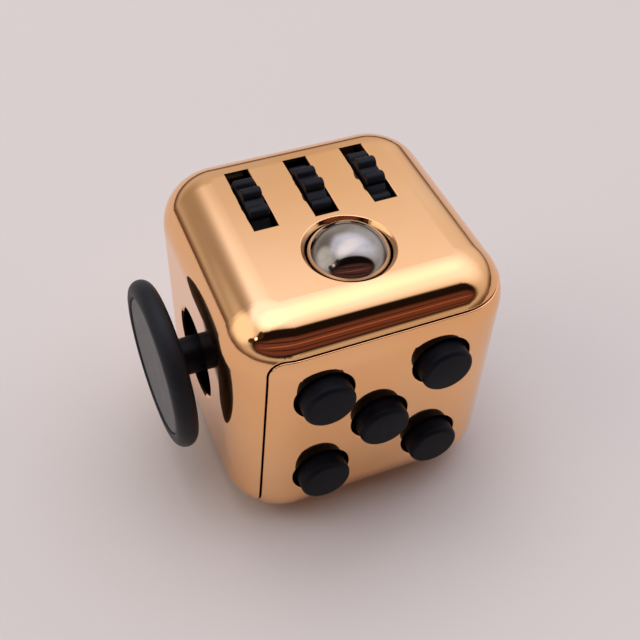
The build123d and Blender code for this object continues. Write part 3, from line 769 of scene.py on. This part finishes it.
# ---------------------------------------------------------------------------------------------
# Sub-assemblies
# ---------------------------------------------------------------------------------------------
@dataclass
class ThumbWheels:
    """Three lobed wheels on one axle, which stand out of the slots in the top."""

    wardrobe: Wardrobe
    axle_y: float = 5.65
    axle_z: float = 28.7
    lobes: int = 12
    lobe_circle: float = 4.9
    lobe_radius: float = 0.8
    flats_per_lobe: int = 32
    side_rounding: float = 0.22
    hub_radius: float = 2.2
    hub_length: float = 4.0
    wheel_width: float = 2.36
    bore_radius: float = 1.05
    leans: dict[str, float] = field(default_factory=lambda: {"left": 0.0, "middle": 10.0, "right": -9.0})

    def build(self) -> None:
        """Models and dresses the three wheels."""
        for side, lean in self.leans.items():
            piece = self._wheel(side, math.radians(lean))
            self.wardrobe.fit(piece, Slot.BLACK_PLASTIC, f"gear_{side}", f"wheel_{side}")

    def _wheel(self, side: str, lean: float) -> bpy.types.Object:
        """Models one wheel.

        Args:
            side: Which wheel.
            lean: How far its top lobe is turned towards the front, in radians.

        Returns:
            The wheel.
        """
        centre = Vector((middle_of(f"gear_{side}").x, self.axle_y, self.axle_z))
        axis = Vector((1.0, 0.0, 0.0))
        half = axis * self.wheel_width / 2
        sides = self.lobes * self.flats_per_lobe
        tip = self.lobe_circle + self.lobe_radius
        pitch = math.tau / self.lobes
        wheel = ModelBench.drum(f"thumb_wheel_{side}", tip, centre - half, centre + half, sides)

        def lobed(angle: float) -> float:
            """Gives the radius at an angle from the top: round lobes on a plain circle."""
            off = abs((angle - lean + pitch / 2) % pitch - pitch / 2)
            rise = self.lobe_radius**2 - (self.lobe_circle * math.sin(off)) ** 2
            return max(self.lobe_circle * math.cos(off) + math.sqrt(max(rise, 0.0)), self.lobe_circle)

        ModelBench.shape_wall(wheel, centre, axis, lobed)
        edge_x = self.wheel_width / 2 - 0.01
        ModelBench.round_edges(wheel, lambda point: abs(point.x - centre.x) > edge_x, self.side_rounding, 3)
        reach = axis * self.hub_length / 2
        hub = ModelBench.drum("hub", self.hub_radius, centre - reach, centre + reach, 64)
        ModelBench.cut(wheel, hub, "UNION")
        bore = ModelBench.drum("bore", self.bore_radius, centre - 2 * reach, centre + 2 * reach, 48)
        ModelBench.cut(wheel, bore)
        return ModelBench.finish(wheel)


@dataclass
class RollingBall:
    """The polished ball, held in its mouth in the top."""

    wardrobe: Wardrobe
    cuts: int = 39

    def build(self) -> None:
        """Models the ball from a finely divided block, so that it has no poles."""
        low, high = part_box("steel_ball")
        radius = (high.x - low.x) / 2
        ModelBench.clear()
        bpy.ops.mesh.primitive_cube_add(size=radius, location=(low + high) / 2)
        ball = bpy.context.object
        ball.name = "rolling_ball"
        ModelBench.edit(ball, "FACE")
        bpy.ops.mesh.select_all(action="SELECT")
        bpy.ops.mesh.subdivide(number_cuts=self.cuts)
        bpy.ops.object.mode_set(mode="OBJECT")
        rounder = ball.modifiers.new("round", "CAST")
        rounder.factor = 1.0
        rounder.use_radius_as_size = False
        rounder.size = radius
        ModelBench.apply(ball, rounder)
        bpy.ops.object.transform_apply(location=True, rotation=True, scale=True)
        bpy.ops.object.shade_smooth()
        ModelBench.clear()
        self.wardrobe.fit(ball, Slot.BALL_STEEL, "steel_ball", "ball")


@dataclass
class ButtonPad:
    """Five soft round buttons on the front."""

    wardrobe: Wardrobe
    radius: float = 3.0
    edge_rounding: float = 0.6
    crown: float = 0.1
    flange_radius: float = 3.9
    flange_front: float = -14.65
    flange_back: float = -14.0
    post_radius: float = 1.2
    names: tuple[str, ...] = ("top_left", "top_right", "centre", "bottom_left", "bottom_right")

    def build(self) -> None:
        """Models one button, then copies it to each place with its own mesh."""
        first = self._button(self.names[0])
        home = middle_of(f"button_{self.names[0]}")
        for name in self.names:
            button = first
            if name != self.names[0]:
                button = first.copy()
                button.data = first.data.copy()
                bpy.context.scene.collection.objects.link(button)
                step = middle_of(f"button_{name}") - home
                button.data.transform(Matrix.Translation(step * MM))
            button.name = f"soft_button_{name}"
            self.wardrobe.dress(button, Slot.BLACK_RUBBER)
            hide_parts(f"button_{name}")
        for name in self.names:
            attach(bpy.data.objects[f"soft_button_{name}"], f"press_{name}")
            log.info("placed soft_button_%s", name)

    def _button(self, name: str) -> bpy.types.Object:
        """Turns a button at one place.

        Args:
            name: Which place.

        Returns:
            The button.
        """
        low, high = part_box(f"button_{name}")
        middle = middle_of(f"button_{name}")
        face, back = low.y / MM, high.y / MM
        base = Vector((middle.x, 0.0, middle.z))
        shoulder = self.radius - self.edge_rounding
        outline = [(face, 0.0), (face + self.crown * 0.3, shoulder * 0.55)]
        outline += [(face + self.crown, shoulder * 0.98)]
        outline += arc(face + self.crown + self.edge_rounding, shoulder, self.edge_rounding, 172, 90)
        outline += [
            (self.flange_front, self.radius),
            (self.flange_front, self.flange_radius),
            (self.flange_back, self.flange_radius),
            (self.flange_back, self.post_radius),
            (back, self.post_radius),
            (back, 0.0),
        ]
        button = ModelBench.turned("button", outline, base, Vector((0.0, 1.0, 0.0)), 96)
        return ModelBench.finish(button)


@dataclass
class ThumbStick:
    """The stick on the left: a rimmed cap, a grey pad in its recess and a stem on a gimbal."""

    wardrobe: Wardrobe
    pivot: Point = (-13.0, 0.0, 16.5)
    turn_degrees: float = 2.0
    cap_radius: float = 10.2
    cap_thickness: float = 2.6
    rim_width: float = 1.85
    recess_depth: float = 0.8
    pad_thickness: float = 0.6
    cap_reach: float = 6.4
    neck_radius: float = 2.25
    bore_radius: float = 1.3
    lip_rounding: float = 0.3
    pad_groove: float = 0.05

    def build(self) -> None:
        """Models the cap and its pad, and turns both to the angle that the stick rests at."""
        pivot = Vector(self.pivot)
        rest = Quaternion((0.0, 0.0, 1.0), math.radians(self.turn_degrees))
        parts = (
            (self._cap(pivot), Slot.BLACK_RUBBER, "stick_cap", self.wardrobe.satin_rubber),
            (self._pad(pivot), Slot.GREY_PAD, "stick_insert", None),
        )
        for piece, slot, node, variant in parts:
            ModelBench.turn(piece, pivot, rest)
            ModelBench.finish(piece)
            self.wardrobe.fit(piece, slot, node, "stick", variant)

    def _cap(self, pivot: Vector) -> bpy.types.Object:
        """Turns the cap, from the middle of its recess over the rim to its collar.

        Args:
            pivot: The point that the stick tilts about.

        Returns:
            The cap.
        """
        back, face = self.cap_reach, self.cap_reach + self.cap_thickness
        bead = self.cap_thickness / 2
        lip = self.lip_rounding
        inner = self.cap_radius - self.rim_width
        outline = [(face - self.recess_depth, self.bore_radius), (face - self.recess_depth, inner)]
        outline += arc(face - lip, inner + lip, lip, -90, 0, 5)
        outline += arc(face - bead, self.cap_radius - bead, bead, 0, 90, 12)
        outline += arc(back + bead, self.cap_radius - bead, bead, 90, 180, 12)[1:]
        outline += [(back, self.neck_radius + 0.5), (back - 0.2, self.neck_radius + 0.1)]
        outline += [(back - 0.7, self.neck_radius), (back - 0.7, self.bore_radius)]
        outline.append(outline[0])
        return ModelBench.turned("stick_thumb_cap", outline, pivot, Vector((-1.0, 0.0, 0.0)), 160)

    def _pad(self, pivot: Vector) -> bpy.types.Object:
        """Turns the pad, with a shallow dish and a fine groove round its edge.

        Args:
            pivot: The point that the stick tilts about.

        Returns:
            The pad.
        """
        floor = self.cap_reach + self.cap_thickness - self.recess_depth
        face = floor + self.pad_thickness
        edge = self.cap_radius - self.rim_width - 0.05
        outline = [(floor, 0.0), (floor, edge)]
        outline += arc(face - 0.25, edge - 0.25, 0.25, 90, 0, 4)
        outline += [(face, edge - 0.8), (face - self.pad_groove, edge - 0.9), (face, edge - 1.0)]
        outline += [(face - 0.04, edge * 0.5), (face - 0.06, 0.0)]
        return ModelBench.turned("stick_grey_pad", outline, pivot, Vector((-1.0, 0.0, 0.0)), 128)


@dataclass
class SpinDial:
    """The round dial on the right, with a grooved edge and a finger dimple."""

    wardrobe: Wardrobe
    radius: float = 8.4
    grooves: int = 24
    flats_per_groove: int = 10
    groove_depth: float = 0.25
    groove_share: float = 0.477
    rim_rounding: float = 0.55
    thickness: float = 1.8
    dimple_radius: float = 5.0
    dimple_off_axis: float = 4.6
    dimple_depth: float = 0.8
    hub_radius: float = 2.4
    screw_radius: float = 0.7

    def build(self) -> None:
        """Models and dresses the dial."""
        low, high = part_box("spin_dial")
        middle = middle_of("spin_dial")
        back, front = low.x / MM, high.x / MM
        axis = Vector((1.0, 0.0, 0.0))
        centre = Vector((0.0, middle.y, middle.z))
        plate_back = front - self.thickness
        sides = self.grooves * self.flats_per_groove
        dial = ModelBench.drum(
            "spinning_dial", self.radius, centre + axis * plate_back, centre + axis * front, sides
        )

        def grooved(angle: float) -> float:
            """Gives the radius at an angle, with a round groove at every pitch."""
            pitch = math.tau / self.grooves
            share = abs((angle + pitch / 2) % pitch - pitch / 2) / (pitch / 2)
            dip = max(0.0, 1.0 - (share / self.groove_share) ** 2)
            return self.radius - self.groove_depth * math.sqrt(dip)

        ModelBench.shape_wall(dial, centre, axis, grooved)
        ModelBench.round_edges(dial, lambda point: point.x > front - 0.01, self.rim_rounding, 5)
        dimple = centre + axis * (front + self.dimple_radius - self.dimple_depth)
        dimple += Vector((0.0, 0.0, self.dimple_off_axis))
        ModelBench.clear()
        bpy.ops.mesh.primitive_uv_sphere_add(
            segments=96, ring_count=48, radius=self.dimple_radius * MM, location=dimple * MM
        )
        ModelBench.cut(dial, bpy.context.object)
        root = centre + axis * (plate_back + 0.2)
        hub = ModelBench.drum("hub", self.hub_radius, centre + axis * back, root, 64)
        ModelBench.cut(dial, hub, "UNION")
        bore = ModelBench.drum(
            "bore", self.screw_radius, centre + axis * (back - 1.0), centre + axis * (plate_back + 1.0), 32
        )
        ModelBench.cut(dial, bore)
        ModelBench.finish(dial)
        self.wardrobe.fit(dial, Slot.BLACK_PLASTIC, "spin_dial", "dial")


@dataclass
class RockerSwitch:
    """The rocker at the back, tipped to one side about its pin."""

    wardrobe: Wardrobe
    pin: Point = (0.0, 14.0, 16.5)
    tip_degrees: float = 12.0
    radius: float = 5.5
    width: float = 6.2
    face_reach: float = 3.2
    face_hollow: float = 0.5
    base_reach: float = 0.9
    base_half: float = 4.6
    nose_reach: float = 2.25
    nose_radius: float = 0.35
    bore_radius: float = 0.75
    edge_rounding: float = 0.18

    def build(self) -> None:
        """Models the rocker level and turns it to its resting tip."""
        pin = Vector(self.pin)
        across = Vector((1.0, 0.0, 0.0))
        half = across * self.width / 2
        rocker = ModelBench.drum("click_rocker", self.radius, pin - half, pin + half, 128)
        self._trim(rocker, pin + Vector((0.0, self.face_reach, 0.0)), Vector((0.0, 1.0, 0.0)))
        self._trim(rocker, pin - Vector((0.0, self.base_reach, 0.0)), Vector((0.0, -1.0, 0.0)))
        for side in (1.0, -1.0):
            corner = Vector((0.0, -self.base_reach, side * self.base_half))
            self._trim(rocker, pin + corner, Vector((0.0, -1.0, side)).normalized())
        rise = math.sqrt(self.radius**2 - self.face_reach**2)
        sweep = (rise**2 + self.face_hollow**2) / (2 * self.face_hollow)
        hollow = pin + Vector((0.0, self.face_reach - self.face_hollow + sweep, 0.0))
        ModelBench.cut(rocker, ModelBench.drum("hollow", sweep, hollow - 2 * half, hollow + 2 * half, 360))
        ModelBench.round_edges(rocker, lambda point: point.y > pin.y - 0.3, self.edge_rounding, 3)
        ModelBench.cut(rocker, self._nose(pin), "UNION")
        bore = ModelBench.drum("bore", self.bore_radius, pin - 2 * half, pin + 2 * half, 48)
        ModelBench.cut(rocker, bore)
        ModelBench.turn(rocker, pin, Quaternion(across, math.radians(self.tip_degrees)))
        ModelBench.finish(rocker)
        self.wardrobe.fit(rocker, Slot.BLACK_PLASTIC, "rocker", "switch")

    @staticmethod
    def _trim(piece: bpy.types.Object, place: Vector, outward: Vector) -> None:
        """Cuts away what lies beyond a plane and closes the cut.

        Args:
            piece: The piece.
            place: A point of the plane.
            outward: The side that goes.
        """
        ModelBench.clear()
        ModelBench.edit(piece, "FACE")
        bpy.ops.mesh.select_all(action="SELECT")
        bpy.ops.mesh.bisect(plane_co=place * MM, plane_no=outward, use_fill=True, clear_outer=True)
        bpy.ops.object.mode_set(mode="OBJECT")

    def _nose(self, pin: Vector) -> bpy.types.Object:
        """Models the rounded nose that snaps over the leaf, to be welded on.

        Args:
            pin: The rocker's pivot.

        Returns:
            The nose, as wide as the rocker less a hair.
        """
        tip = pin.y - self.nose_reach - self.nose_radius
        root = pin.y - self.base_reach + 0.3
        size = Vector((self.width - 0.04, root - tip, 2 * self.nose_radius))
        ModelBench.clear()
        place = Vector((pin.x, (tip + root) / 2, pin.z)) * MM
        bpy.ops.mesh.primitive_cube_add(size=MM, location=place, scale=size)
        bpy.ops.object.transform_apply(location=True, rotation=True, scale=True)
        nose = bpy.context.object
        nose.name = "nose"
        ModelBench.round_edges(nose, self._at_tip(tip), self.nose_radius * 0.98, 6)
        return nose

    @staticmethod
    def _at_tip(tip: float) -> Callable[[Vector], bool]:
        """Gives the test for the two long edges of the nose's end."""
        return lambda point: point.y < tip + 0.01 and abs(point.x) < 0.01


# ---------------------------------------------------------------------------------------------
# Studio
# ---------------------------------------------------------------------------------------------
def heading_vector(bearing: float, height: float) -> Vector:
    """Gives the direction at a bearing from +Y towards +X and a height above level, in degrees."""
    turn, rise = math.radians(bearing), math.radians(height)
    return Vector((math.sin(turn) * math.cos(rise), math.cos(turn) * math.cos(rise), math.sin(rise)))


@dataclass(frozen=True)
class Softbox:
    """A square area light that faces the object and leaves reflections to the room."""

    name: str
    bearing: float
    height: float
    distance: float
    side: float
    power: float
    tint: Colour

    def build(self, target: Vector) -> None:
        """Adds the light.

        Args:
            target: The point that the light faces, in metres.
        """
        away = heading_vector(self.bearing, self.height)
        lamp = bpy.data.lights.new(self.name, "AREA")
        lamp.size = self.side * MM
        lamp.energy = self.power
        lamp.color = self.tint
        holder = bpy.data.objects.new(self.name, lamp)
        holder.location = target + away * self.distance * MM
        holder.rotation_euler = (-away).to_track_quat("-Z", "Y").to_euler()
        holder.visible_glossy = False
        bpy.context.scene.collection.objects.link(holder)


@dataclass(frozen=True)
class RoomPatch:
    """A soft-edged oval in the room: a window, a lit ceiling or a person."""

    bearing: float
    height: float
    half_width: float
    half_height: float
    colour: Colour
    softness: float = 0.5
    lean: float = 0.0

    def lay(
        self, bench: NodeBench, ray: bpy.types.NodeSocket, room: bpy.types.NodeSocket
    ) -> bpy.types.NodeSocket:
        """Lays the patch over the room.

        Args:
            bench: The world's bench.
            ray: The direction looked in.
            room: The room's colour so far.

        Returns:
            The room's colour with the patch.
        """
        centre = heading_vector(self.bearing, self.height)
        lean = Quaternion(centre, math.radians(self.lean))
        sideways = lean @ heading_vector(self.bearing + 90.0, 0.0)
        upward = lean @ heading_vector(self.bearing, self.height + 90.0)
        reach = []
        for axis, half in ((sideways, self.half_width), (upward, self.half_height)):
            scaled = axis / math.sin(math.radians(half))
            part = bench.add("ShaderNodeVectorMath", {0: ray, 1: tuple(scaled)}, operation="DOT_PRODUCT")
            reach.append(bench.maths("MULTIPLY", part.outputs["Value"], part.outputs["Value"]))
        oval = bench.maths("ADD", *reach)
        inside = bench.maths("SUBTRACT", 1.0, bench.ramp(oval, 1.0 - self.softness, 1.0 + self.softness))
        ahead = bench.add("ShaderNodeVectorMath", {0: ray, 1: tuple(centre)}, operation="DOT_PRODUCT")
        facing = bench.maths("GREATER_THAN", ahead.outputs["Value"], 0.0)
        return bench.blend(bench.maths("MULTIPLY", inside, facing), room, self.colour)


@dataclass
class Studio:
    """The pale floor, the soft light, the room that the plating mirrors and the camera."""

    aim: Point = (-0.58, -0.11, 16.19)
    heading: float = 24.09
    look_down: float = 47.26
    roll: float = 2.57
    distance: float = 117.24
    lens: float = 53.3
    floor_side: float = 3000.0
    floor_shade: Colour = (0.655, 0.59, 0.54)
    backdrop_shade: Colour = (0.72, 0.64, 0.64)
    horizon: Colour = (0.16, 0.11, 0.09)
    wall: Colour = (0.62, 0.585, 0.56)
    patches: tuple[RoomPatch, ...] = (
        RoomPatch(66.0, 44.0, 30.0, 34.0, (0.88, 0.90, 1.0), 1.0),
        RoomPatch(22.0, 74.0, 54.0, 28.0, (1.44, 1.52, 1.90), 0.7),
        RoomPatch(316.0, 30.0, 30.0, 18.0, (0.38, 0.34, 0.31), 0.9),
        RoomPatch(340.0, 84.0, 30.0, 14.0, (2.0, 2.0, 2.2), 1.0),
        RoomPatch(285.0, 32.0, 26.0, 20.0, (1.2, 1.17, 1.15), 0.6),
        RoomPatch(190.0, 42.0, 56.0, 29.0, (0.012, 0.008, 0.007), 0.12),
        RoomPatch(189.0, 35.0, 50.0, 17.0, (0.15, 0.06, 0.05), 0.3),
        RoomPatch(196.0, 44.0, 44.0, 1.3, (0.03, 0.012, 0.01), 0.6, 3.0),
        RoomPatch(186.0, 36.0, 40.0, 1.2, (0.42, 0.16, 0.10), 0.6, -1.0),
        RoomPatch(188.0, 28.0, 40.0, 1.1, (0.03, 0.012, 0.01), 0.6, -3.0),
        RoomPatch(246.0, 48.0, 5.0, 8.0, (0.05, 0.03, 0.02), 0.4, 20.0),
        RoomPatch(256.0, 30.0, 4.0, 6.0, (0.06, 0.03, 0.02), 0.4, -25.0),
        RoomPatch(251.0, 38.0, 3.0, 3.5, (2.4, 2.2, 1.9), 0.6),
    )
    boxes: tuple[Softbox, ...] = (
        Softbox("overhead_box", 350.0, 66.0, 700.0, 380.0, 0.85, (1.0, 0.97, 0.94)),
        Softbox("left_box", 285.0, 38.0, 900.0, 500.0, 0.6, (1.0, 0.97, 0.96)),
    )

    def build(self) -> None:
        """Builds the floor, the lights, the room and the camera."""
        self._floor()
        self._room()
        target = Vector(self.aim) * MM
        for box in self.boxes:
            box.build(target)
        self._camera(target)
        bpy.context.scene.view_settings.view_transform = "Standard"

    def _floor(self) -> None:
        """Lays the floor under the object."""
        bpy.ops.object.select_all(action="DESELECT")
        bpy.ops.mesh.primitive_plane_add(size=self.floor_side * MM)
        floor = bpy.context.object
        floor.name = "studio_floor"
        material, bench, shader = start_material("floor_card")
        place = bench.add("ShaderNodeTexCoord").outputs["Object"]
        fibre = bench.add("ShaderNodeTexNoise", {"Vector": place, "Scale": 900.0, "Detail": 3.0})
        darker = tuple(0.985 * part for part in self.floor_shade)
        connect(bench, shader, "Base Color", bench.blend(fibre.outputs["Fac"], darker, self.floor_shade))
        shader.inputs["Roughness"].default_value = 0.9
        shader.inputs["Specular IOR Level"].default_value = 0.1
        floor.data.materials.append(material)

    def _room(self) -> None:
        """Lights the room softly and shows a plain pale backdrop to the camera."""
        world = bpy.data.worlds.new("room")
        bpy.context.scene.world = world
        world.use_nodes = True
        world.node_tree.nodes.clear()
        bench = NodeBench(world.node_tree)
        ray = bench.add("ShaderNodeTexCoord").outputs["Generated"]
        level = bench.add("ShaderNodeSeparateXYZ", {"Vector": ray}).outputs["Z"]
        room = bench.blend(bench.ramp(level, 0.03, 0.22), self.horizon, self.wall)
        for patch in self.patches:
            room = patch.lay(bench, ray, room)
        lit = bench.add("ShaderNodeBackground", {"Color": room, "Strength": 1.0})
        plain = bench.add("ShaderNodeBackground", {"Color": (*self.backdrop_shade, 1.0), "Strength": 1.0})
        seen = bench.add("ShaderNodeLightPath").outputs["Is Camera Ray"]
        both = bench.add("ShaderNodeMixShader", {0: seen, 1: lit.outputs[0], 2: plain.outputs[0]})
        bench.add("ShaderNodeOutputWorld", {"Surface": both.outputs[0]})

    def _camera(self, target: Vector) -> None:
        """Sets the camera to look at the target from the usual three-quarter view above."""
        forward = heading_vector(self.heading, -self.look_down)
        lens = bpy.data.cameras.new("studio_camera")
        lens.lens = self.lens
        lens.clip_start = 1.0 * MM
        camera = bpy.data.objects.new("studio_camera", lens)
        camera.location = target - forward * self.distance * MM
        camera.rotation_mode = "QUATERNION"
        tilt = Quaternion((0.0, 0.0, 1.0), math.radians(self.roll))
        camera.rotation_quaternion = forward.to_track_quat("-Z", "Y") @ tilt
        bpy.context.scene.collection.objects.link(camera)
        bpy.context.scene.camera = camera


def main() -> None:
    """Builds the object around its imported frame, then the studio."""
    logging.basicConfig(level=logging.INFO, format="%(name)s: %(message)s")
    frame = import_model()
    wardrobe = Wardrobe()
    for part in (ThumbWheels, RollingBall, ButtonPad, ThumbStick, SpinDial, RockerSwitch):
        part(wardrobe).build()
    wardrobe.dress_frame(frame["nodes"])
    Studio().build()


if __name__ == "__main__":
    main()
